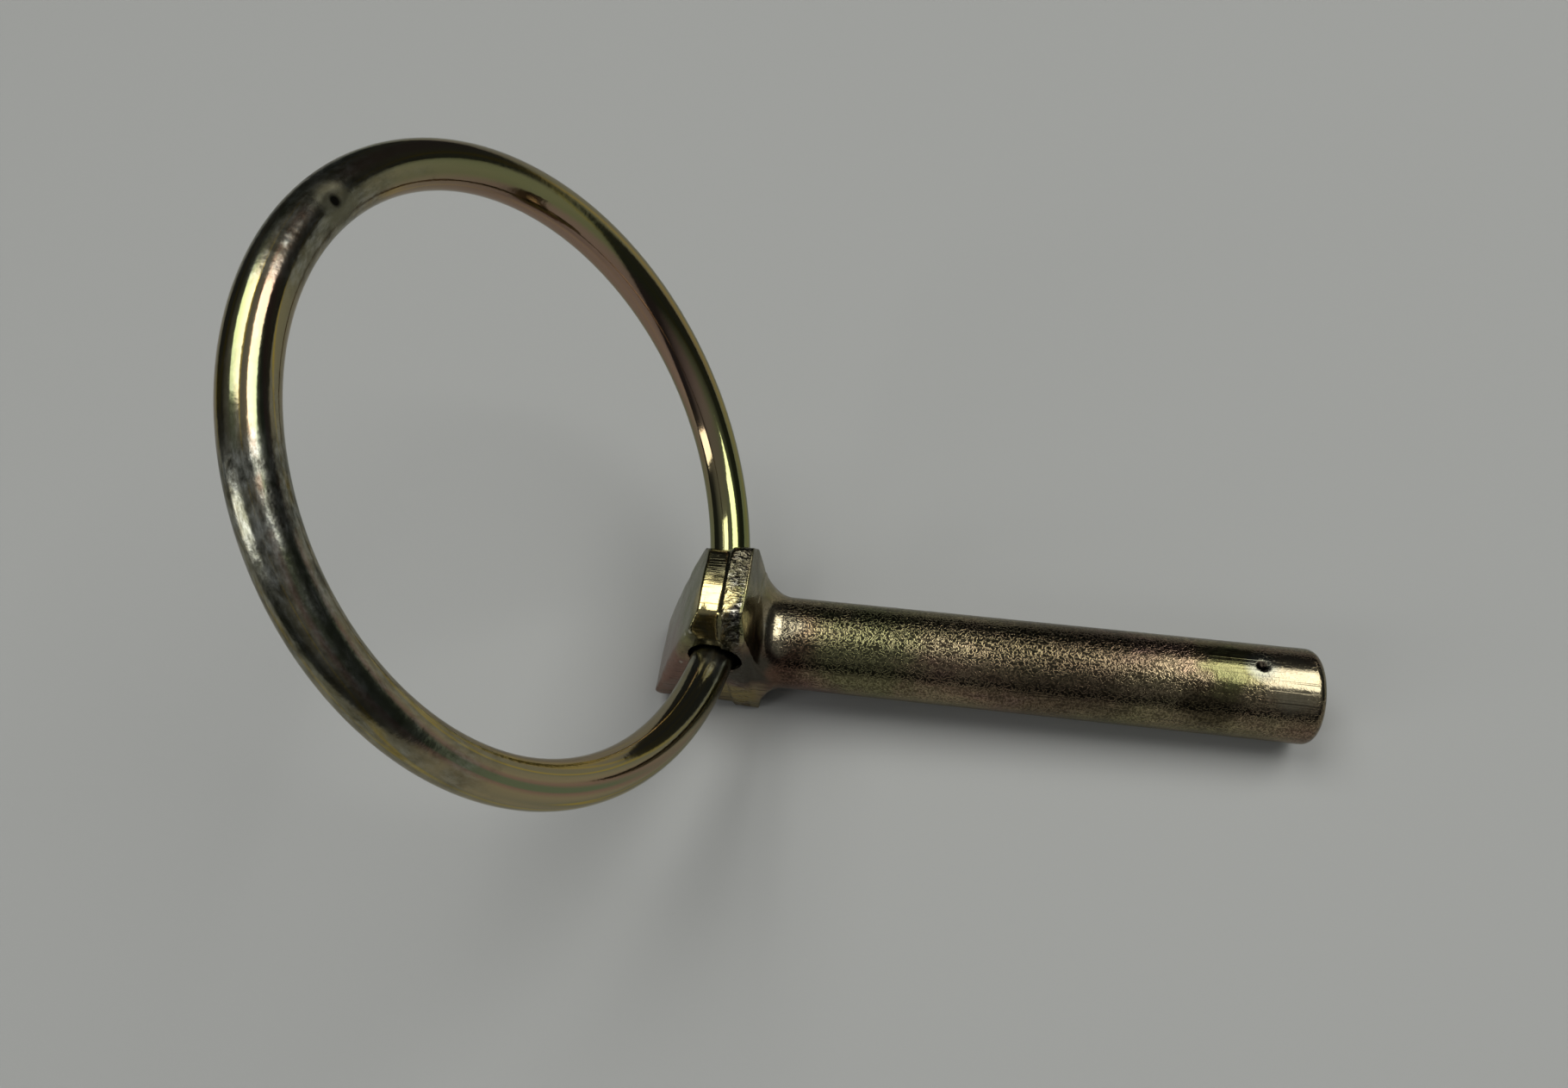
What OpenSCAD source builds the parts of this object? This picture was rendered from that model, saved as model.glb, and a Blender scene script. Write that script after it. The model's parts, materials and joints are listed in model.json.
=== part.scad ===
// Linch pin: a forged headed pin with a sprung wire ring that swings in its head.
// Origin on the shank's axis at the shoulder, +X towards the tip, +Y along the
// ring's hinge, +Z up. The pin lies on its side, with the ring swung back off the shank.

/* [Shank] */
// Diameter of the shank
shank_d = 8; // [6:0.5:12]
// Length from the shoulder to the tip
shank_l = 47.1; // [30:0.1:90]
// Radius of the rounded edge at the tip
tip_r = 0.9; // [0.4:0.1:2]

/* [Head] */
// How far each side face stands out past the shank
side_out = 0.6; // [0.4:0.1:3]
// How far the top flat stands out past the shank
top_out = 6.2; // [5.2:0.1:9]
// How far the bottom flat stands out past the shank
bottom_out = 2.1; // [0.4:0.1:4]
// How far the upper bevels come in from the side faces
upper_bevel_in = 1.4; // [0.6:0.1:2.4]
// How far the upper bevels come down from the top flat
upper_bevel_down = 2.6; // [1:0.1:3.4]
// How far the lower bevels come in from the side faces
lower_bevel_in = 0.6; // [0.3:0.1:1.6]
// How far the lower bevels come up from the bottom flat
lower_bevel_up = 5.5; // [1:0.1:7]
// Radius of the edges along the head
edge_r = 0.7; // [0.3:0.1:1]
// Length of the head at its top flat
top_l = 3.7; // [3:0.1:6]
// Length of the head at its heel, the thickest place
heel_l = 9.1; // [7:0.1:12]
// Radius of the domed back of the head
dome_r = 120; // [40:5:240]
// Radius of the heel's round
heel_r = 1.5; // [0.6:0.1:3]
// Radius of the edges up the back of the head
back_r = 1.2; // [0.4:0.1:2.5]
// Length of the trimmed collar beside the shoulder
collar_l = 1.8; // [1:0.1:2.6]
// Height by which the collar stands proud of the rest of the head
collar_step = 0.25; // [0.1:0.05:0.4]

/* [Shoulder] */
// Slope of the shoulder's face
shoulder_slope = 8; // [2:1:15]
// Radius of the fillet between the shoulder and the shank
shoulder_r = 2.3; // [1:0.1:3.5]
// How far the fillet reaches past the sides of the shank
fillet_side = 0.25; // [0.15:0.05:0.35]

/* [Ring] */
// Diameter of the wire
wire_d = 3.5; // [2:0.1:4]
// Inside diameter of the ring
ring_inside_d = 41.2; // [30:0.2:70]
// Length of each end of the ring inside the head
end_in = 3.2; // [1.5:0.1:3.8]
// Clearance of the wire in its cross hole, on the diameter
hole_clearance = 0.9; // [0.7:0.1:1.4]
// Wall between the cross hole and the shoulder
hole_wall = 0.4; // [0.2:0.05:1]
// Height of the cross hole's axis above the top of the shank
hole_rise = 0.25; // [-1:0.05:1]
// Swing of the ring, from lying along the shank
ring_swing = 121.3; // [10:0.1:340]

/* [Hidden] */

$fn = 96;
arc_steps = 8;
overlap = 1;
skim = 0.01;
plating_colour = "#8d7c48";
wire_colour = "#7d7350";

shank_r = shank_d / 2;
wire_r = wire_d / 2;
hole_r = wire_r + hole_clearance / 2;
hole_x = -hole_wall - hole_r;
hole_z = shank_r + hole_rise;

side_y = shank_r + side_out;
top_z = shank_r + top_out;
bottom_z = -shank_r - bottom_out;

// Shoulder: a cone from the outermost corners of the top flat, and its fillet to the shank
rim_r = norm([side_y - upper_bevel_in, top_z]);
cone_root = [shank_r, (rim_r - shank_r) * tan(shoulder_slope)];
fillet_end = (rim_r - shank_r - shoulder_r) * tan(shoulder_slope) + shoulder_r / cos(shoulder_slope);

// Dome: its sphere passes through the back of the top flat and the top of the heel
dome_upper = [-top_l, top_z];
dome_lower = [-heel_l, bottom_z + heel_r];
dome_chord = dome_upper - dome_lower;
dome_depth = sqrt(pow(dome_r, 2) - pow(norm(dome_chord) / 2, 2));
dome_inward = [dome_chord[1], -dome_chord[0]] / norm(dome_chord);
dome_middle = (dome_upper + dome_lower) / 2;
dome_centre = dome_middle + dome_depth * dome_inward;

// Ring: its circle crosses the hinge halfway along each end, and stops inside the head
ring_r = ring_inside_d / 2 + wire_r;
end_stop_y = side_y - end_in;
ring_centre = sqrt(pow(ring_r, 2) - pow((side_y + end_stop_y) / 2, 2));
gap_half_angle = asin(end_stop_y / ring_r);

function unit(v) = v / norm(v);

// Points of the arc of radius r that rounds corner b between its neighbours a and c
function corner_arc(a, b, c, r) =
    let (
        to_a = unit(a - b),
        to_c = unit(c - b),
        half = acos(to_a * to_c) / 2,
        centre = b + unit(to_a + to_c) * r / sin(half),
        first = b + to_a * r / tan(half) - centre,
        last = b + to_c * r / tan(half) - centre
    )
    [for (i = [0:arc_steps]) centre + r * unit(first + (last - first) * i / arc_steps)];

// Outline with every corner rounded by r
function rounded(points, r) =
    let (n = len(points))
    [for (i = [0:n - 1]) each corner_arc(points[(i + n - 1) % n], points[i], points[(i + 1) % n], r)];

// Section of the head across the shank, drawn with the hinge along its X
module head_section(inset) {
    right = [
        [side_y - lower_bevel_in - inset, bottom_z + inset],
        [side_y - inset, bottom_z + lower_bevel_up],
        [side_y - inset, top_z - upper_bevel_down],
        [side_y - upper_bevel_in - inset, top_z - inset]
    ];
    left = [for (i = [len(right) - 1:-1:0]) [-right[i][0], right[i][1]]];
    polygon(rounded(concat(right, left), edge_r));
}

// Length of the head's section from one place along the shank to another
module head_bar(from, to, inset) {
    translate([from, 0, 0])
        rotate([90, 0, 90])
            linear_extrude(to - from)
                head_section(inset);
}

// Bar across the head that rounds its heel
module heel_bar() {
    low = bottom_z - skim;
    back_top = [-heel_l, top_z + overlap];
    front_top = [overlap, top_z + overlap];
    front_bottom = [overlap, low];
    heel = corner_arc(back_top, [-heel_l, low], front_bottom, heel_r);
    rotate([90, 0, 0])
        linear_extrude(2 * (side_y + overlap), center = true)
            polygon(concat([front_top, back_top], heel, [front_bottom]));
}

// Bar with the dome's lean that rounds both edges up the back of the head
module back_bar() {
    back = dome_depth - dome_r;
    front = 2 * heel_l;
    half_w = side_y - collar_step + skim;
    left = corner_arc([front, -half_w], [back, -half_w], [back, 0], back_r);
    right = corner_arc([back, 0], [back, half_w], [front, half_w], back_r);
    translate([dome_middle[0], 0, dome_middle[1]])
        rotate([0, atan2(dome_chord[0], dome_chord[1]), 0])
            linear_extrude(2 * norm(dome_chord), center = true)
                polygon(concat(left, right, [[front, half_w], [front, -half_w]]));
}

// Forged head: a collar, and a block that is domed at the back and rounded at the heel
module head() {
    head_bar(-collar_l, 0, 0);
    intersection() {
        head_bar(-heel_l - overlap, -collar_l / 2, collar_step);
        heel_bar();
        back_bar();
        translate([dome_centre[0], 0, dome_centre[1]])
            sphere(dome_r);
    }
}

// Shoulder and fillet, turned about the shank and kept within the head's section
module shoulder() {
    fillet = corner_arc([shank_r, shank_l], cone_root, [rim_r, 0], shoulder_r);
    intersection() {
        rotate([0, 90, 0])
            rotate_extrude()
                polygon(concat([[0, -overlap], [0, fillet_end]], fillet, [[rim_r, 0], [rim_r, -overlap]]));
        head_bar(-overlap, fillet_end + overlap, 0);
        translate([-overlap, -shank_r - fillet_side, bottom_z])
            cube([fillet_end + 2 * overlap, shank_d + 2 * fillet_side, top_z - bottom_z]);
    }
}

// Shank, from inside the head to its rounded tip
module shank() {
    tip = corner_arc([0, shank_l], [shank_r, shank_l], [shank_r, 0], tip_r);
    rotate([0, 90, 0])
        rotate_extrude()
            polygon(concat([[0, -overlap], [0, shank_l]], tip, [[shank_r, -overlap]]));
}

// Shank and head as one forging, with the cross hole for the ring's ends
module pin() {
    color(plating_colour)
        difference() {
            union() {
                head();
                shoulder();
                shank();
            }
            translate([hole_x, 0, hole_z])
                rotate([90, 0, 0])
                    cylinder(h = 2 * (side_y + overlap), r = hole_r, center = true);
        }
}

// Wire ring, drawn with the hinge along Y and turned to its swing
module ring() {
    color(wire_colour)
        translate([hole_x, 0, hole_z])
            rotate([0, -ring_swing, 0])
                translate([ring_centre, 0, 0])
                    rotate([0, 0, gap_half_angle - 180])
                        rotate_extrude(angle = 360 - 2 * gap_half_angle)
                            translate([ring_r, 0])
                                circle(wire_r);
}

pin();
ring();
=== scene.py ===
import json
import math

import bpy
from mathutils import Matrix, Vector


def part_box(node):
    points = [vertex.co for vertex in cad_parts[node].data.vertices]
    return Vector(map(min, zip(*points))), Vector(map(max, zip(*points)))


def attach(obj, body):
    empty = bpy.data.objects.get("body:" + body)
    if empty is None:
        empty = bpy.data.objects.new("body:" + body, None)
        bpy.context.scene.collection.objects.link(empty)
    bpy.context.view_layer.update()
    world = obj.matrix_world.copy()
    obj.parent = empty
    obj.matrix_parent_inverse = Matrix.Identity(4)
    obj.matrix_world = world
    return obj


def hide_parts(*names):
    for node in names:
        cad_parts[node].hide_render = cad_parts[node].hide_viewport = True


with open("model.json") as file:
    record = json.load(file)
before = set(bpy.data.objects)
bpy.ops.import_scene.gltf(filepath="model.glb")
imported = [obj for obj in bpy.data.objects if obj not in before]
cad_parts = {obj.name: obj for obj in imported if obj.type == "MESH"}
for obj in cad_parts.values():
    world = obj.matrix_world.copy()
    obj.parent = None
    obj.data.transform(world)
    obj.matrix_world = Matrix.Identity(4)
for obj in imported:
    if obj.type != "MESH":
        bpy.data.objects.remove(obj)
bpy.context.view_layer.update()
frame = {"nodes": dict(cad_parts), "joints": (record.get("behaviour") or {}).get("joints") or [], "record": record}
mm = 0.001  # the frame is in metres

hinge = Vector(frame["joints"][0]["pos_m"])  # axis of the head's cross hole
shankMount = next(m for m in frame["record"]["mounts"] if m["name"] == "shank")
shankRadius = shankMount["dims"]["r_mm"] * mm
pinLow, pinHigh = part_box("pin")
ringLow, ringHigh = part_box("ring")
print("frame loaded:", sorted(frame["nodes"]))


def linear(hexColour):
    channels = [int(hexColour[i:i + 2], 16) / 255 for i in (1, 3, 5)]
    return [c / 12.92 if c <= 0.04045 else ((c + 0.055) / 1.055) ** 2.4 for c in channels] + [1.0]


def perMm(size):
    return 1 / (size * mm)  # scale of a pattern whose features are this many mm across


def selectOnly(piece):
    bpy.ops.object.select_all(action="DESELECT")
    piece.select_set(True)
    bpy.context.view_layer.objects.active = piece


def applyModifier(piece, kind, settings):
    modifier = piece.modifiers.new(kind.lower(), kind)
    for name, value in settings.items():
        setattr(modifier, name, value)
    selectOnly(piece)
    bpy.ops.object.modifier_apply(modifier=modifier.name)


def pushDent(piece, centre, width, depth, inwards):
    # one vertex is pulled in, and its neighbours follow with a smooth falloff
    selectOnly(piece)
    nearest = min(piece.data.vertices, key=lambda v: (v.co - centre).length_squared).index
    bpy.ops.object.mode_set(mode="EDIT")
    bpy.ops.mesh.select_mode(type="VERT")
    bpy.ops.mesh.select_all(action="DESELECT")
    bpy.ops.object.mode_set(mode="OBJECT")
    piece.data.vertices[nearest].select = True
    bpy.ops.object.mode_set(mode="EDIT")
    bpy.ops.transform.translate(value=inwards.normalized() * depth, use_proportional_edit=True,
                                proportional_edit_falloff="SMOOTH", proportional_size=width / 2)
    bpy.ops.object.mode_set(mode="OBJECT")


def addNode(tree, kind, settings=None, links=None):
    # sockets that share a name go by number: a colour mix has its share at 0 and its colours at 6 and 7
    node = tree.nodes.new(kind)
    for name, value in (settings or {}).items():
        if name == "stops":
            ramp = node.color_ramp.elements
            while len(ramp) < len(value):
                ramp.new(1.0)
            for element, (place, colour) in zip(ramp, value):
                element.position = place
                element.color = linear(colour) if isinstance(colour, str) else (colour, colour, colour, 1)
        elif isinstance(name, int) or name in node.inputs:
            node.inputs[name].default_value = value
        else:
            setattr(node, name, value)
    for name, source in (links or {}).items():
        tree.links.new(source, node.inputs[name])
    return node


def newMaterial(name):
    material = bpy.data.materials.new(name)
    material.use_nodes = True
    tree = material.node_tree
    tree.nodes.clear()
    return material, tree


# Camera: the photograph's own place and lens
cameraSet = {
    "place": (12.384, -44.703, 87.347),    # mm
    "right": (0.98960, 0.13757, -0.04195),
    "down": (0.09361, -0.83753, -0.53831),
    "focal": 1295.7,                       # pixels, for an image of this width
    "imageWidth": 1820,
    "sensor": 36.0,                        # mm
    "nearest": 1.0,                        # mm, nothing closer is drawn
}
right = Vector(cameraSet["right"]).normalized()
up = -Vector(cameraSet["down"]).normalized()
back = right.cross(up)
cameraData = bpy.data.cameras.new("camera")
cameraData.sensor_width = cameraSet["sensor"]
cameraData.lens = cameraSet["focal"] / cameraSet["imageWidth"] * cameraSet["sensor"]
cameraData.clip_start = cameraSet["nearest"] * mm
camera = bpy.data.objects.new("camera", cameraData)
camera.matrix_world = (Matrix.Translation(Vector(cameraSet["place"]) * mm)
                       @ Matrix((right, up, back)).transposed().to_4x4())
bpy.context.scene.collection.objects.link(camera)
bpy.context.scene.camera = camera
print("camera placed, lens", round(cameraData.lens, 2))


# Forged pin: the CAD solid with forged edges and uneven faces
pinForm = {
    "weld": 0.001,          # mm, points closer than this become one
    "voxel": 0.154,         # mm, as fine as a piece may be
    "edgePasses": 6,        # passes that round the edges
    "edgePull": 0.5,        # how far each pass takes a point towards its neighbours' mean
    "headEnd": 0.6,         # mm along the shank, where the hammered head gives way to the shank
    "lumpSize": 2.4,        # mm
    "lumpDepth": 0.12,      # mm
    "collar": (-1.75, -0.15),  # mm along the shank, the trimmed band beside the shoulder
    "trimSize": 0.42,       # mm
    "trimDepth": 0.08,      # mm
    "reliefLevel": 0.8,     # value of the lumps and the trim that leaves the surface where it is
    # places pressed down on the head's top, in mm: centre, width and depth
    "presses": [((-3.0, -3.3, 9.9), 5.6, 0.35), ((-3.2, 3.3, 9.9), 5.0, 0.24)],
    "pitPlace": (41.9, 0.42),  # mm along the shank and across it, on its upper side
    "pitWidth": 1.3,        # mm
    "pitDepth": 0.22,       # mm
}
forgedPin = bpy.data.objects.new("forged_pin", frame["nodes"]["pin"].data.copy())
bpy.context.scene.collection.objects.link(forgedPin)
forgedPin.data.materials.clear()
selectOnly(forgedPin)
bpy.ops.object.mode_set(mode="EDIT")
bpy.ops.mesh.select_all(action="SELECT")
bpy.ops.mesh.remove_doubles(threshold=pinForm["weld"] * mm)
bpy.ops.object.mode_set(mode="OBJECT")
applyModifier(forgedPin, "REMESH", {"mode": "VOXEL", "voxel_size": pinForm["voxel"] * mm})
applyModifier(forgedPin, "SMOOTH", {"factor": pinForm["edgePull"], "iterations": pinForm["edgePasses"]})

collarStart, collarEnd = (value * mm for value in pinForm["collar"])
areas = {
    "head": [v.index for v in forgedPin.data.vertices if v.co.x < pinForm["headEnd"] * mm],
    "collar": [v.index for v in forgedPin.data.vertices if collarStart < v.co.x < collarEnd],
}
for area, size, depth in (("head", "lumpSize", "lumpDepth"), ("collar", "trimSize", "trimDepth")):
    forgedPin.vertex_groups.new(name=area).add(areas[area], 1.0, "REPLACE")
    clouds = bpy.data.textures.new("forging_" + area, "CLOUDS")
    clouds.noise_scale = pinForm[size] * mm
    applyModifier(forgedPin, "DISPLACE", {"texture": clouds, "texture_coords": "LOCAL",
                                          "mid_level": pinForm["reliefLevel"],
                                          "strength": pinForm[depth] * mm, "vertex_group": area})
for centre, width, depth in pinForm["presses"]:
    pushDent(forgedPin, Vector(centre) * mm, width * mm, depth * mm, Vector((0, 0, -1)))
pitX, pitY = (value * mm for value in pinForm["pitPlace"])
pitCentre = Vector((pitX, pitY, math.sqrt(shankRadius ** 2 - pitY ** 2)))
pitInwards = Vector((0, -pitCentre.y, -pitCentre.z))
pushDent(forgedPin, pitCentre, pinForm["pitWidth"] * mm, pinForm["pitDepth"] * mm, pitInwards)
selectOnly(forgedPin)
bpy.ops.object.shade_smooth()
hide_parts("pin")
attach(forgedPin, "pin")
print("forged pin:", len(forgedPin.data.polygons), "faces")


# Wire ring: drawn spring wire, coiled round and sprung into the head
ringForm = {
    "wire": 3.5,            # mm
    "swing": 121.3,         # degrees back from the shank
    "reach": 22.148,        # mm from the hinge to the ring's centre
    "gapSteps": 3,          # steps left out each side of the hinge, inside the head
    "steps": 256,           # round the ring
    "sides": 64,            # round the wire
    "dentAlong": 4.98,      # mm along the wire from the middle of its loop
    "dentRound": -92,       # degrees round the wire
    "dentWidth": 1.7,       # mm
    "dentDepth": 0.20,      # mm
}
wireRadius = ringForm["wire"] / 2 * mm
ringRadius = (ringHigh.y - ringLow.y) / 2 - wireRadius
bpy.ops.object.select_all(action="DESELECT")
bpy.ops.mesh.primitive_torus_add(major_radius=ringRadius, minor_radius=wireRadius,
                                 major_segments=ringForm["steps"], minor_segments=ringForm["sides"])
wireRing = bpy.context.active_object
wireRing.name = wireRing.data.name = "wire_ring"
gapAngle = math.tau * ringForm["gapSteps"] / ringForm["steps"]
bpy.ops.object.mode_set(mode="EDIT")
bpy.ops.mesh.select_mode(type="FACE")
bpy.ops.mesh.select_all(action="DESELECT")
bpy.ops.object.mode_set(mode="OBJECT")
for face in wireRing.data.polygons:
    face.select = abs(math.atan2(face.center.y, -face.center.x)) < gapAngle
bpy.ops.object.mode_set(mode="EDIT")
bpy.ops.mesh.delete(type="FACE")
bpy.ops.mesh.select_all(action="SELECT")
bpy.ops.mesh.fill_holes(sides=ringForm["sides"])
bpy.ops.mesh.normals_make_consistent(inside=False)
bpy.ops.object.mode_set(mode="OBJECT")

# the wire's own space, as if it lay straight: along it, and across its section
alongWire = wireRing.data.attributes.new("alongWire", "FLOAT_VECTOR", "POINT")
for vertex, spot in zip(wireRing.data.vertices, alongWire.data):
    turn = math.atan2(vertex.co.y, vertex.co.x)
    spot.vector = (turn * ringRadius, math.hypot(vertex.co.x, vertex.co.y) - ringRadius, vertex.co.z)

dentTurn = ringForm["dentAlong"] * mm / ringRadius
dentRound = math.radians(ringForm["dentRound"])
dentOut = Vector((math.cos(dentTurn) * math.cos(dentRound), math.sin(dentTurn) * math.cos(dentRound),
                  math.sin(dentRound)))
dentCentre = Vector((math.cos(dentTurn), math.sin(dentTurn), 0)) * ringRadius + dentOut * wireRadius
pushDent(wireRing, dentCentre, ringForm["dentWidth"] * mm, ringForm["dentDepth"] * mm, -dentOut)
swing = math.radians(ringForm["swing"])
wireRing.rotation_euler = (0, -swing, 0)
wireRing.location = hinge + Vector((math.cos(swing), 0, math.sin(swing))) * ringForm["reach"] * mm
selectOnly(wireRing)
bpy.ops.object.transform_apply(location=True, rotation=True, scale=True)
bpy.ops.object.shade_smooth()
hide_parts("ring")
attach(wireRing, "ring")
print("wire ring:", len(wireRing.data.polygons), "faces")


# Yellow passivated zinc on forged steel: a thin film that shifts from olive to straw and rose, over
# a skin of short raised strokes that sparkle, with draw marks along the shank and a torn, trimmed collar
forgingLook = {
    "film": [(0.30, "#80845c"), (0.42, "#9c936d"), (0.52, "#aa9a7a"), (0.62, "#a18870"), (0.72, "#957770")],
    "filmSize": 7.0,        # mm
    "filmStretch": 2.5,
    # where the film has a colour of its own, or where a highlight or shade is painted into it: centre and reach in
    # mm, colour, share
    "tints": {
        "greenShank": ((9.5, -2.4, 3.0), 6.0, "#878c60", 0.65),
        "dimShank": ((26.5, -1.0, 3.8), 8.5, "#746751", 0.75),
        "roseShank": ((5.0, -3.6, -2.4), 4.6, "#916d68", 0.8),
        # a darker patch on the near side of the shank by the tip
        "darkPatchNearTip": ((38.0, -3.3, 2.6), 3.6, "#564c38", 0.8),
        "oliveBack": ((-8.0, 1.5, 5.5), 11.0, "#787c4c", 0.95),
        # painted reflection of the dark room, a brown shade in the concave shoulder
        "paintedShoulderShade": ((1.2, -3.2, 3.4), 5.6, "#6a4f42", 0.9),
        "roseSide": ((-6.4, -4.8, -0.6), 8.0, "#946f66", 0.9),
        # near side face darker: partly its own dark oxide, partly painted reflection of the shaded floor
        "darkSideOxideAndShade": ((-0.8, -4.6, 3.0), 4.0, "#4a4840", 0.9),
        # painted highlight: the lower bevel catching light from the floor and panels
        "paintedFootHighlight": ((-1.6, -4.2, -2.6), 3.0, "#b8a468", 0.9),
        # painted highlight on the near half of the head's top
        "paintedTopHighlight": ((-2.9, -1.9, 10.1), 2.6, "#cdbd86", 0.85),
        # painted dark reflection on the mirror-like upper bevel
        "paintedBevelReflection": ((-2.7, -4.2, 8.2), 2.6, "#5a5342", 0.8),
        # painted highlight: the fillet's colour whitened where the panel's reflection falls
        "paintedFilletHighlight": ((2.4, -0.8, 4.4), 2.6, "#b5ac90", 0.9),
        "darkRim": ((-1.2, 3.6, 9.8), 5.0, "#5a5448", 0.7),
        "paleTip": ((39.6, 0.3, 4.0), 3.6, "#70714a", 0.9),
        "brightTip": ((44.4, -0.8, 4.0), 3.4, "#948c75", 0.9),
    },
    "tintRagged": 1.5,      # mm
    "tintFade": 0.45,       # share of its reach over which a colour fades out
    "strokes": [(0.36, 0.0), (0.45, 0.32), (0.50, 1.0), (0.55, 0.32), (0.64, 0.0)],
    "strokeSize": 0.30,     # mm, the raised strokes of the skin
    "strokeDepth": 0.010,   # mm
    "strokeHollowShade": 0.29,     # share of light left in the hollows between the strokes, where shade is painted
    "strokeLeast": 0.15,    # share of the strokes that is left where the skin is smooth
    "shankStart": (1.6, 3.0),  # mm, where the strokes come in after the smooth shoulder
    "hollowShadeHeights": (-1.4, 0.3),  # mm above the shank's axis, where the painted shade in the strokes' hollows comes in
    "pebble": 0.9,          # mm
    "pebbleDepth": 0.04,    # mm
    "pebbleShare": 0.3,
    "markWidth": 0.12,      # mm
    "markStretch": 60,
    "markStops": [(0.58, 0.0), (0.72, 0.75)],
    "markDepth": 0.02,      # mm
    "markShare": 0.4,
    "markColour": "#3e382c",
    "headMarks": 0.04,      # how much more closely the head is scratched than the shank
    "smooth": 0.10,
    "dull": 0.18,
    "dullRange": (0.3, 0.7),  # of the film's pattern, from smooth to dull
    "edgeTint": "#e4e4df",  # the film stays darker than bare metal at a glancing angle
    # rubbed edges, and painted glints along the edges
    "wornAndGlintColour": "#cdcabb",
    "wornGlintEdge": (0.54, 0.62),  # sharpness of an edge that is rubbed and given a painted glint
    "wornGlintBroken": (0.42, 0.62),  # of the ragged pattern, which breaks the rubbed edges and their painted glints up
    "wornAndGlintShare": 0.8,
    "collarTones": [(0.41, "#1f1d1a"), (0.50, "#55534d"), (0.60, "#a29f94")],
    "collarWander": 0.7,    # mm that the collar's trimmed edge strays
    "collarFades": (0.10, 0.15),  # mm over which the collar's torn look starts and stops
    "scoreWidth": 0.34,     # mm
    "scoreStretch": 1.8,
    "scoreTurn": 12,        # degrees
    "scoreDepth": 0.11,     # mm
    "pitColour": "#211d18",
    "pitReach": (0.62, 0.40),  # mm from the pit's centre, where its dark floor starts and is full
    "haloColour": "#7b7c70",
    "haloReach": (1.6, 0.9),  # mm
    "haloShare": 0.8,
    "crackColour": "#453f28",
    "crackStops": [(0.46, 0.0), (0.50, 0.9), (0.54, 0.0)],
}
forgedZinc, tree = newMaterial("yellow_zinc_on_forged_steel")
place = addNode(tree, "ShaderNodeTexCoord").outputs["Object"]
axes = addNode(tree, "ShaderNodeSeparateXYZ", None, {"Vector": place})
along = axes.outputs["X"]
smeared = addNode(tree, "ShaderNodeMapping", {"Scale": (1 / forgingLook["filmStretch"], 1, 1)},
                  {"Vector": place})
filmNoise = addNode(tree, "ShaderNodeTexNoise", {"Scale": perMm(forgingLook["filmSize"]), "Detail": 6.0,
                                                 "Roughness": 0.65}, {"Vector": smeared.outputs[0]})
film = addNode(tree, "ShaderNodeValToRGB", {"stops": forgingLook["film"]},
               {"Fac": filmNoise.outputs["Fac"]})
ragged = addNode(tree, "ShaderNodeTexNoise", {"Scale": perMm(forgingLook["tintRagged"]), "Detail": 4.0},
                 {"Vector": place})

# trimmed collar: torn into dark and bright scores, between edges that wander
wander = forgingLook["collarWander"] * mm
strayed = addNode(tree, "ShaderNodeMath", {"operation": "MULTIPLY_ADD", 1: wander},
                  {0: ragged.outputs["Fac"], 2: along})
fadeIn, fadeOut = (value * mm for value in forgingLook["collarFades"])
trimStart = collarStart + wander / 2  # half, because the ragged pattern is about a half on average
collarIn = addNode(tree, "ShaderNodeMapRange", {"From Min": trimStart - fadeIn, "From Max": trimStart},
                   {"Value": strayed.outputs[0]})
collarOut = addNode(tree, "ShaderNodeMapRange", {"From Min": collarEnd, "From Max": collarEnd - fadeOut},
                    {"Value": along})
collar = addNode(tree, "ShaderNodeMath", {"operation": "MULTIPLY"},
                 {0: collarIn.outputs[0], 1: collarOut.outputs[0]})
scoreTurn = (0, 0, math.radians(forgingLook["scoreTurn"]))
scoreSpace = addNode(tree, "ShaderNodeMapping", {"Scale": (1 / forgingLook["scoreStretch"], 1, 1),
                                                 "Rotation": scoreTurn}, {"Vector": place})
scores = addNode(tree, "ShaderNodeTexNoise", {"Scale": perMm(forgingLook["scoreWidth"]), "Detail": 3.0,
                                              "Distortion": 0.6}, {"Vector": scoreSpace.outputs[0]})
scoreTone = addNode(tree, "ShaderNodeValToRGB", {"stops": forgingLook["collarTones"]},
                    {"Fac": scores.outputs["Fac"]})
colour = addNode(tree, "ShaderNodeMix", {"data_type": "RGBA"},
                 {0: collar.outputs[0], 6: film.outputs["Color"], 7: scoreTone.outputs["Color"]}).outputs[2]

# patches of set colour, each with a ragged edge: the film's own tones, and painted highlights and shade
tintShare = {}
for name, (centre, reach, tint, share) in forgingLook["tints"].items():
    away = addNode(tree, "ShaderNodeVectorMath", {"operation": "DISTANCE", 1: Vector(centre) * mm},
                   {0: place})
    edge = addNode(tree, "ShaderNodeMath", {"operation": "MULTIPLY_ADD", 1: -reach * mm},
                   {0: ragged.outputs["Fac"], 2: away.outputs["Value"]})
    fade = forgingLook["tintFade"] * reach * mm
    within = addNode(tree, "ShaderNodeMapRange", {"From Min": fade, "From Max": 0.0, "To Max": share},
                     {"Value": edge.outputs[0]})
    tintShare[name] = within.outputs[0]
    colour = addNode(tree, "ShaderNodeMix", {"data_type": "RGBA", 7: linear(tint)},
                     {0: tintShare[name], 6: colour}).outputs[2]

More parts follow.
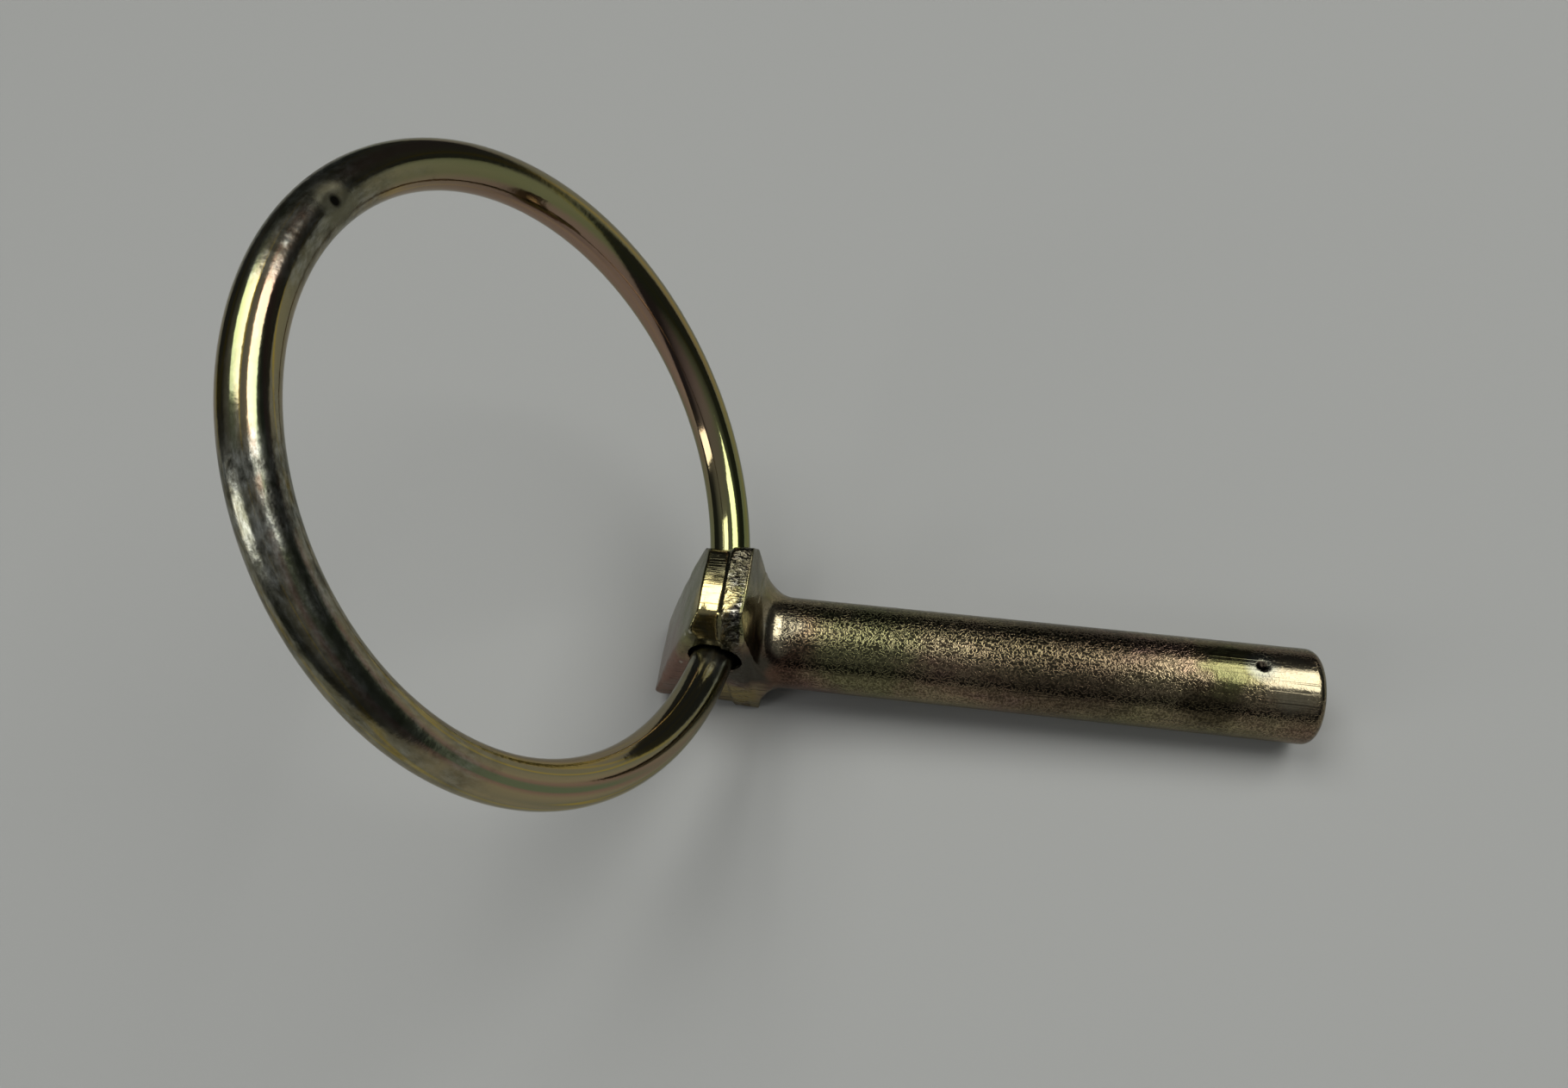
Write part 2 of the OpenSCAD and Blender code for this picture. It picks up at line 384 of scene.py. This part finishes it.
# raised strokes on the shank's skin, with painted shade in their hollows, pressed smooth at the tip, and draw
# marks along it
grit = addNode(tree, "ShaderNodeTexNoise", {"Scale": perMm(forgingLook["strokeSize"]), "Detail": 1.5,
                                            "Distortion": 0.4}, {"Vector": place})
strokes = addNode(tree, "ShaderNodeValToRGB", {"stops": forgingLook["strokes"]},
                  {"Fac": grit.outputs["Fac"]})
pebble = addNode(tree, "ShaderNodeTexNoise", {"Scale": perMm(forgingLook["pebble"]), "Detail": 2.0},
                 {"Vector": place})
least = forgingLook["strokeLeast"]
skinStart, skinFull = (value * mm for value in forgingLook["shankStart"])
skin = addNode(tree, "ShaderNodeMapRange", {"From Min": skinStart, "From Max": skinFull, "To Min": least},
               {"Value": along})
hollowShadeStart, hollowShadeFull = (value * mm for value in forgingLook["hollowShadeHeights"])
upper = addNode(tree, "ShaderNodeMapRange", {"From Min": hollowShadeStart, "From Max": hollowShadeFull, "To Min": least},
                {"Value": axes.outputs["Z"]})
smoothTip = addNode(tree, "ShaderNodeMath", {"operation": "MAXIMUM"},
                    {0: tintShare["paleTip"], 1: tintShare["brightTip"]})
pressed = addNode(tree, "ShaderNodeMapRange", {"To Min": 1.0, "To Max": least},
                  {"Value": smoothTip.outputs[0]})
strokeShare = addNode(tree, "ShaderNodeMath", {"operation": "MULTIPLY"},
                      {0: skin.outputs[0], 1: pressed.outputs[0]})
hollowShadeShare = addNode(tree, "ShaderNodeMath", {"operation": "MULTIPLY"},
                   {0: strokeShare.outputs[0], 1: upper.outputs[0]})
# painted shade: the hollows between the strokes are darkened in the colour
paintedHollowShade = addNode(tree, "ShaderNodeMapRange", {"To Min": forgingLook["strokeHollowShade"]},
                 {"Value": strokes.outputs["Color"]})
colour = addNode(tree, "ShaderNodeMix", {"data_type": "RGBA", "blend_type": "MULTIPLY"},
                 {0: hollowShadeShare.outputs[0], 6: colour, 7: paintedHollowShade.outputs[0]}).outputs[2]
lengthways = addNode(tree, "ShaderNodeMapping", {"Scale": (1 / forgingLook["markStretch"], 1, 1)},
                     {"Vector": place})
marks = addNode(tree, "ShaderNodeTexNoise", {"Scale": perMm(forgingLook["markWidth"]), "Detail": 2.0},
                {"Vector": lengthways.outputs[0]})
closer = addNode(tree, "ShaderNodeMapRange", {"From Min": skinStart, "From Max": skinFull,
                                              "To Min": forgingLook["headMarks"], "To Max": 0.0},
                 {"Value": along})
marked = addNode(tree, "ShaderNodeMath", {"operation": "ADD"},
                 {0: marks.outputs["Fac"], 1: closer.outputs[0]})
lines = addNode(tree, "ShaderNodeValToRGB", {"stops": forgingLook["markStops"]},
                {"Fac": marked.outputs[0]})
colour = addNode(tree, "ShaderNodeMix", {"data_type": "RGBA", 7: linear(forgingLook["markColour"])},
                 {0: lines.outputs["Color"], 6: colour}).outputs[2]

# fine cracks in the pale film near the pit
crackLine = addNode(tree, "ShaderNodeValToRGB", {"stops": forgingLook["crackStops"]},
                    {"Fac": ragged.outputs["Fac"]})
cracks = addNode(tree, "ShaderNodeMath", {"operation": "MULTIPLY"},
                 {0: crackLine.outputs["Color"], 1: tintShare["paleTip"]})
colour = addNode(tree, "ShaderNodeMix", {"data_type": "RGBA", 7: linear(forgingLook["crackColour"])},
                 {0: cracks.outputs[0], 6: colour}).outputs[2]

# edges rubbed bright here and there, with painted glints along them
pointed = addNode(tree, "ShaderNodeNewGeometry").outputs["Pointiness"]
edgeStart, edgeFull = forgingLook["wornGlintEdge"]
edges = addNode(tree, "ShaderNodeMapRange", {"From Min": edgeStart, "From Max": edgeFull,
                                             "To Max": forgingLook["wornAndGlintShare"]}, {"Value": pointed})
brokenStart, brokenFull = forgingLook["wornGlintBroken"]
broken = addNode(tree, "ShaderNodeMapRange", {"From Min": brokenStart, "From Max": brokenFull},
                 {"Value": ragged.outputs["Fac"]})
wornAndGlint = addNode(tree, "ShaderNodeMath", {"operation": "MULTIPLY"},
               {0: edges.outputs[0], 1: broken.outputs[0]})
colour = addNode(tree, "ShaderNodeMix", {"data_type": "RGBA", 7: linear(forgingLook["wornAndGlintColour"])},
                 {0: wornAndGlint.outputs[0], 6: colour}).outputs[2]

# pit near the tip: a dark floor and a dull ring of thin plating
pitAway = addNode(tree, "ShaderNodeVectorMath", {"operation": "DISTANCE", 1: pitCentre}, {0: place})
haloStart, haloFull = (value * mm for value in forgingLook["haloReach"])
halo = addNode(tree, "ShaderNodeMapRange", {"From Min": haloStart, "From Max": haloFull,
                                            "To Max": forgingLook["haloShare"]},
               {"Value": pitAway.outputs["Value"]})
colour = addNode(tree, "ShaderNodeMix", {"data_type": "RGBA", 7: linear(forgingLook["haloColour"])},
                 {0: halo.outputs[0], 6: colour}).outputs[2]
pitStart, pitFull = (value * mm for value in forgingLook["pitReach"])
pit = addNode(tree, "ShaderNodeMapRange", {"From Min": pitStart, "From Max": pitFull},
              {"Value": pitAway.outputs["Value"]})
colour = addNode(tree, "ShaderNodeMix", {"data_type": "RGBA", 7: linear(forgingLook["pitColour"])},
                 {0: pit.outputs[0], 6: colour}).outputs[2]

# relief and gloss
strokeBump = addNode(tree, "ShaderNodeBump", {"Distance": forgingLook["strokeDepth"] * mm},
                     {"Height": strokes.outputs["Color"], "Strength": strokeShare.outputs[0]})
pebbleBump = addNode(tree, "ShaderNodeBump", {"Strength": forgingLook["pebbleShare"],
                                              "Distance": forgingLook["pebbleDepth"] * mm},
                     {"Height": pebble.outputs["Fac"], "Normal": strokeBump.outputs[0]})
lineBump = addNode(tree, "ShaderNodeBump", {"Strength": forgingLook["markShare"],
                                            "Distance": forgingLook["markDepth"] * mm, "invert": True},
                   {"Height": lines.outputs["Color"], "Normal": pebbleBump.outputs[0]})
scoreBump = addNode(tree, "ShaderNodeBump", {"Distance": forgingLook["scoreDepth"] * mm},
                    {"Height": scores.outputs["Fac"], "Strength": collar.outputs[0],
                     "Normal": lineBump.outputs[0]})
dullStart, dullFull = forgingLook["dullRange"]
roughness = addNode(tree, "ShaderNodeMapRange", {"From Min": dullStart, "From Max": dullFull,
                                                 "To Min": forgingLook["smooth"],
                                                 "To Max": forgingLook["dull"]},
                    {"Value": filmNoise.outputs["Fac"]})
surface = addNode(tree, "ShaderNodeBsdfPrincipled", {"Metallic": 1.0,
                                                     "Specular Tint": linear(forgingLook["edgeTint"])},
                  {"Base Color": colour, "Roughness": roughness.outputs[0], "Normal": scoreBump.outputs[0]})
addNode(tree, "ShaderNodeOutputMaterial", None, {"Surface": surface.outputs[0]})
forgedPin.data.materials.append(forgedZinc)
print("forged zinc made")


# Yellow passivated zinc on drawn spring wire: smooth and bright, with the film's colours drawn out
# in lines along the wire, and dull grey where the plating is rubbed
wireLook = {
    "film": [(0.30, "#727a54"), (0.40, "#918b6b"), (0.455, "#9e9370"), (0.475, "#c4aa4c"),
             (0.495, "#968e71"), (0.56, "#aa9a76"), (0.60, "#a68d72"), (0.64, "#a2846f"), (0.70, "#7e8665")],
    "filmWidth": 1.9,       # mm across the wire
    "filmStretch": 30,
    "drawWidth": 0.16,      # mm
    "drawStretch": 50,
    "drawDepth": 0.02,      # mm
    "drawShare": 0.12,
    "peel": 0.55,           # mm
    "peelDepth": 0.03,      # mm
    "peelShares": (0.15, 0.8),  # where the wire is bright, and where it is rubbed
    "bright": 0.09,
    "rubbed": 0.26,
    # where the wire is rubbed, as mm along it from the middle of its loop, and how much
    "rubs": [(-75, 0.75), (-66, 0.7), (-60, 0.2), (-42, 0.05), (-34, 0.45), (-22, 0.65), (-14, 0.85),
             (-10, 0.3), (-5, 0.2), (1, 0.7), (6, 0.75), (13, 0.1), (75, 0.0)],
    "rubSize": 2.2,         # mm
    "rubRange": (0.70, 1.40),  # of how much added to the pattern, from bright to rubbed
    "rubTones": [(0.36, "#3c3c35"), (0.50, "#6e6f66"), (0.64, "#9a9c94")],
    "rubGrain": 0.5,        # mm
    "rubStretch": 2.5,
    # how the film turns towards the wire's ends: where it starts and is full in mm along it, colour, share
    "ends": {
        "green": (48, 62, "#818f5c", 0.65),
        "grey": (-46, -60, "#7d7f68", 0.6),
    },
    "innerFrom": (-0.6, -1.5),  # mm across the wire, towards the inner side of its loop
    "innerColour": "#a38873",
    "innerShare": 0.5,
    # the film's bands on the far half of the wire, as mm across it, from the loop's inner side outwards
    "bands": [(-1.75, "#a08074"), (-1.5, "#9e8270"), (-1.2, "#838858"), (-0.6, "#888b5c"),
              (-0.1, "#8f8c62"), (0.2, "#c2a74c"), (0.45, "#8f8a6c"), (1.75, "#8c8672")],
    "bandWander": 0.8,      # mm
    "bandsFrom": (8, 22),   # mm along the wire
    "bandShare": 0.65,
    "dentColour": "#1d1c18",
    "dentReach": (0.50, 0.25),  # mm from the dent's centre, where its dark floor starts and is full
    "dentHalo": "#77755f",
    "dentHaloReach": (2.4, 1.0),  # mm
    "dentHaloShare": 0.8,
    "dentDull": 0.5,
    "edgeTint": "#e4e4df",  # the film stays darker than bare metal at a glancing angle
}
wireZinc, tree = newMaterial("yellow_zinc_on_spring_wire")
wirePlace = addNode(tree, "ShaderNodeAttribute", {"attribute_name": "alongWire"}).outputs["Vector"]
wireAxes = addNode(tree, "ShaderNodeSeparateXYZ", None, {"Vector": wirePlace})
along = wireAxes.outputs["X"]
drawn = addNode(tree, "ShaderNodeMapping", {"Scale": (1 / wireLook["filmStretch"], 1, 1)},
                {"Vector": wirePlace})
fine = addNode(tree, "ShaderNodeMapping", {"Scale": (1 / wireLook["drawStretch"], 1, 1)},
               {"Vector": wirePlace})
filmNoise = addNode(tree, "ShaderNodeTexNoise", {"Scale": perMm(wireLook["filmWidth"]), "Detail": 2.0},
                    {"Vector": drawn.outputs[0]})
film = addNode(tree, "ShaderNodeValToRGB", {"stops": wireLook["film"]}, {"Fac": filmNoise.outputs["Fac"]})
innerStart, innerFull = (value * mm for value in wireLook["innerFrom"])
inner = addNode(tree, "ShaderNodeMapRange", {"From Min": innerStart, "From Max": innerFull,
                                             "To Max": wireLook["innerShare"]},
                {"Value": wireAxes.outputs["Y"]})
colour = addNode(tree, "ShaderNodeMix", {"data_type": "RGBA", 7: linear(wireLook["innerColour"])},
                 {0: inner.outputs[0], 6: film.outputs["Color"]}).outputs[2]

# bands along the far half of the wire, and a green and a grey end
bandWander = wireLook["bandWander"] * mm
across = addNode(tree, "ShaderNodeMath", {"operation": "MULTIPLY_ADD", 1: bandWander},
                 {0: filmNoise.outputs["Fac"], 2: wireAxes.outputs["Y"]})
onBands = addNode(tree, "ShaderNodeMapRange", {"From Min": bandWander / 2 - wireRadius,
                                               "From Max": bandWander / 2 + wireRadius},
                  {"Value": across.outputs[0]})
bandStops = [((spot * mm + wireRadius) / (2 * wireRadius), tone) for spot, tone in wireLook["bands"]]
bands = addNode(tree, "ShaderNodeValToRGB", {"stops": bandStops}, {"Fac": onBands.outputs[0]})
bandStart, bandFull = (value * mm for value in wireLook["bandsFrom"])
banded = addNode(tree, "ShaderNodeMapRange", {"From Min": bandStart, "From Max": bandFull,
                                              "To Max": wireLook["bandShare"]}, {"Value": along})
colour = addNode(tree, "ShaderNodeMix", {"data_type": "RGBA"},
                 {0: banded.outputs[0], 6: colour, 7: bands.outputs["Color"]}).outputs[2]
for endStart, endFull, tint, share in wireLook["ends"].values():
    turned = addNode(tree, "ShaderNodeMapRange", {"From Min": endStart * mm, "From Max": endFull * mm,
                                                  "To Max": share}, {"Value": along})
    colour = addNode(tree, "ShaderNodeMix", {"data_type": "RGBA", 7: linear(tint)},
                     {0: turned.outputs[0], 6: colour}).outputs[2]

# rubbed stretches, broken up so that they fade into the bright wire
reach = wireLook["rubs"][-1][0] * mm
onWire = addNode(tree, "ShaderNodeMapRange", {"From Min": -reach, "From Max": reach}, {"Value": along})
rubStops = [((spot * mm + reach) / (2 * reach), amount) for spot, amount in wireLook["rubs"]]
rubAlong = addNode(tree, "ShaderNodeValToRGB", {"stops": rubStops}, {"Fac": onWire.outputs[0]})
rubAlong.color_ramp.interpolation = "EASE"
rubNoise = addNode(tree, "ShaderNodeTexNoise", {"Scale": perMm(wireLook["rubSize"]), "Detail": 6.0,
                                                "Roughness": 0.65}, {"Vector": wirePlace})
rubSum = addNode(tree, "ShaderNodeMath", {"operation": "ADD"},
                 {0: rubAlong.outputs["Color"], 1: rubNoise.outputs["Fac"]})
rubStart, rubFull = wireLook["rubRange"]
rub = addNode(tree, "ShaderNodeMapRange", {"From Min": rubStart, "From Max": rubFull},
              {"Value": rubSum.outputs[0]})
scuffed = addNode(tree, "ShaderNodeMapping", {"Scale": (1 / wireLook["rubStretch"], 1, 1)},
                  {"Vector": wirePlace})
rubGrain = addNode(tree, "ShaderNodeTexNoise", {"Scale": perMm(wireLook["rubGrain"]), "Detail": 4.0,
                                                "Roughness": 0.7}, {"Vector": scuffed.outputs[0]})
rubTone = addNode(tree, "ShaderNodeValToRGB", {"stops": wireLook["rubTones"]},
                  {"Fac": rubGrain.outputs["Fac"]})
colour = addNode(tree, "ShaderNodeMix", {"data_type": "RGBA"},
                 {0: rub.outputs[0], 6: colour, 7: rubTone.outputs["Color"]}).outputs[2]

# dent near the middle of the loop: a dark floor in a dull patch
dentSpot = Vector((ringForm["dentAlong"] * mm, math.cos(dentRound) * wireRadius,
                   math.sin(dentRound) * wireRadius))
dentAway = addNode(tree, "ShaderNodeVectorMath", {"operation": "DISTANCE", 1: dentSpot}, {0: wirePlace})
haloStart, haloFull = (value * mm for value in wireLook["dentHaloReach"])
dentHalo = addNode(tree, "ShaderNodeMapRange", {"From Min": haloStart, "From Max": haloFull,
                                                "To Max": wireLook["dentHaloShare"]},
                   {"Value": dentAway.outputs["Value"]})
colour = addNode(tree, "ShaderNodeMix", {"data_type": "RGBA", 7: linear(wireLook["dentHalo"])},
                 {0: dentHalo.outputs[0], 6: colour}).outputs[2]
dentStart, dentFull = (value * mm for value in wireLook["dentReach"])
dentFloor = addNode(tree, "ShaderNodeMapRange", {"From Min": dentStart, "From Max": dentFull},
                    {"Value": dentAway.outputs["Value"]})
colour = addNode(tree, "ShaderNodeMix", {"data_type": "RGBA", 7: linear(wireLook["dentColour"])},
                 {0: dentFloor.outputs[0], 6: colour}).outputs[2]

# gloss, and relief: fine draw lines everywhere, and a peel that is strongest where the wire is rubbed
rubDull = addNode(tree, "ShaderNodeMapRange", {"To Min": wireLook["bright"], "To Max": wireLook["rubbed"]},
                  {"Value": rub.outputs[0]})
dentDull = addNode(tree, "ShaderNodeMath", {"operation": "MULTIPLY", 1: wireLook["dentDull"]},
                   {0: dentHalo.outputs[0]})
roughness = addNode(tree, "ShaderNodeMath", {"operation": "MAXIMUM"},
                    {0: rubDull.outputs[0], 1: dentDull.outputs[0]})
drawNoise = addNode(tree, "ShaderNodeTexNoise", {"Scale": perMm(wireLook["drawWidth"]), "Detail": 2.0},
                    {"Vector": fine.outputs[0]})
drawBump = addNode(tree, "ShaderNodeBump", {"Strength": wireLook["drawShare"],
                                            "Distance": wireLook["drawDepth"] * mm},
                   {"Height": drawNoise.outputs["Fac"]})
peel = addNode(tree, "ShaderNodeTexNoise", {"Scale": perMm(wireLook["peel"]), "Detail": 3.0},
               {"Vector": wirePlace})
peelBright, peelRubbed = wireLook["peelShares"]
peelShare = addNode(tree, "ShaderNodeMapRange", {"To Min": peelBright, "To Max": peelRubbed},
                    {"Value": rub.outputs[0]})
peelBump = addNode(tree, "ShaderNodeBump", {"Distance": wireLook["peelDepth"] * mm},
                   {"Height": peel.outputs["Fac"], "Strength": peelShare.outputs[0],
                    "Normal": drawBump.outputs[0]})
surface = addNode(tree, "ShaderNodeBsdfPrincipled", {"Metallic": 1.0,
                                                     "Specular Tint": linear(wireLook["edgeTint"])},
                  {"Base Color": colour, "Roughness": roughness.outputs[0], "Normal": peelBump.outputs[0]})
addNode(tree, "ShaderNodeOutputMaterial", None, {"Surface": surface.outputs[0]})
wireRing.data.materials.append(wireZinc)
print("wire zinc made")


# Studio: a pale floor that the head and the tip both rest on, three soft panels and a dim room
studio = {
    "floorSize": 3.0,       # m
    "floorColour": "#9d9f9e",
    "floorRoughness": 0.7,
    "floorShine": 0.2,
    "tipRound": 0.9,        # mm
    "aim": (10, 0, 10),     # mm, what the panels face
    # towards each panel, along its length, then distance, length and width in m, and watts
    "panels": {
        "right_panel": ((0.49, 0.20, 0.845), (0, 1, 0), 1.0, 0.80, 0.46, 5.5),
        "left_panel": ((-0.37, 0.20, 0.90), (0, 1, 0), 1.0, 0.60, 0.52, 4.4),
        "front_panel": ((-0.78, -0.50, 0.37), (-0.64, 0.56, -1.05), 1.2, 0.90, 0.24, 2.9),
    },
    "panelColour": "#fffdf8",
    "roomUp": (0, -0.22, 0.975),  # the room is darker behind than in front
    "walls": (0.40, "#2e3033"),
    "ceiling": (0.85, "#868789"),
}
restX = pinHigh.x - studio["tipRound"] * mm
floorTilt = math.atan2(-shankRadius - pinLow.z, restX)
bpy.ops.object.select_all(action="DESELECT")
bpy.ops.mesh.primitive_plane_add(size=studio["floorSize"], location=(0, 0, pinLow.z),
                                 rotation=(0, -floorTilt, 0))
floor = bpy.context.active_object
floor.name = "floor"
floorPaint, tree = newMaterial("matt_pale_paint")
surface = addNode(tree, "ShaderNodeBsdfPrincipled", {"Base Color": linear(studio["floorColour"]),
                                                     "Roughness": studio["floorRoughness"],
                                                     "Specular IOR Level": studio["floorShine"]})
addNode(tree, "ShaderNodeOutputMaterial", None, {"Surface": surface.outputs[0]})
floor.data.materials.append(floorPaint)

aim = Vector(studio["aim"]) * mm
for name, (towards, lengthways, distance, length, width, watts) in studio["panels"].items():
    out = Vector(towards).normalized()
    side = (Vector(lengthways) - out * out.dot(Vector(lengthways))).normalized()
    panelData = bpy.data.lights.new(name, "AREA")
    panelData.shape = "RECTANGLE"
    panelData.size, panelData.size_y = length, width
    panelData.energy = watts
    panelData.color = linear(studio["panelColour"])[:3]
    panel = bpy.data.objects.new(name, panelData)
    panel.matrix_world = (Matrix.Translation(aim + out * distance)
                          @ Matrix((side, out.cross(side), out)).transposed().to_4x4())
    bpy.context.scene.collection.objects.link(panel)

world = bpy.data.worlds.new("room")
bpy.context.scene.world = world
world.use_nodes = True
tree = world.node_tree
tree.nodes.clear()
direction = addNode(tree, "ShaderNodeTexCoord").outputs["Generated"]
heightUp = addNode(tree, "ShaderNodeVectorMath", {"operation": "DOT_PRODUCT", 1: studio["roomUp"]},
                   {0: direction})
roomTone = addNode(tree, "ShaderNodeValToRGB", {"stops": [studio["walls"], studio["ceiling"]]},
                   {"Fac": heightUp.outputs["Value"]})
room = addNode(tree, "ShaderNodeBackground", None, {"Color": roomTone.outputs["Color"]})
addNode(tree, "ShaderNodeOutputWorld", None, {"Surface": room.outputs[0]})
bpy.context.scene.view_settings.view_transform = "Standard"
print("studio lit")
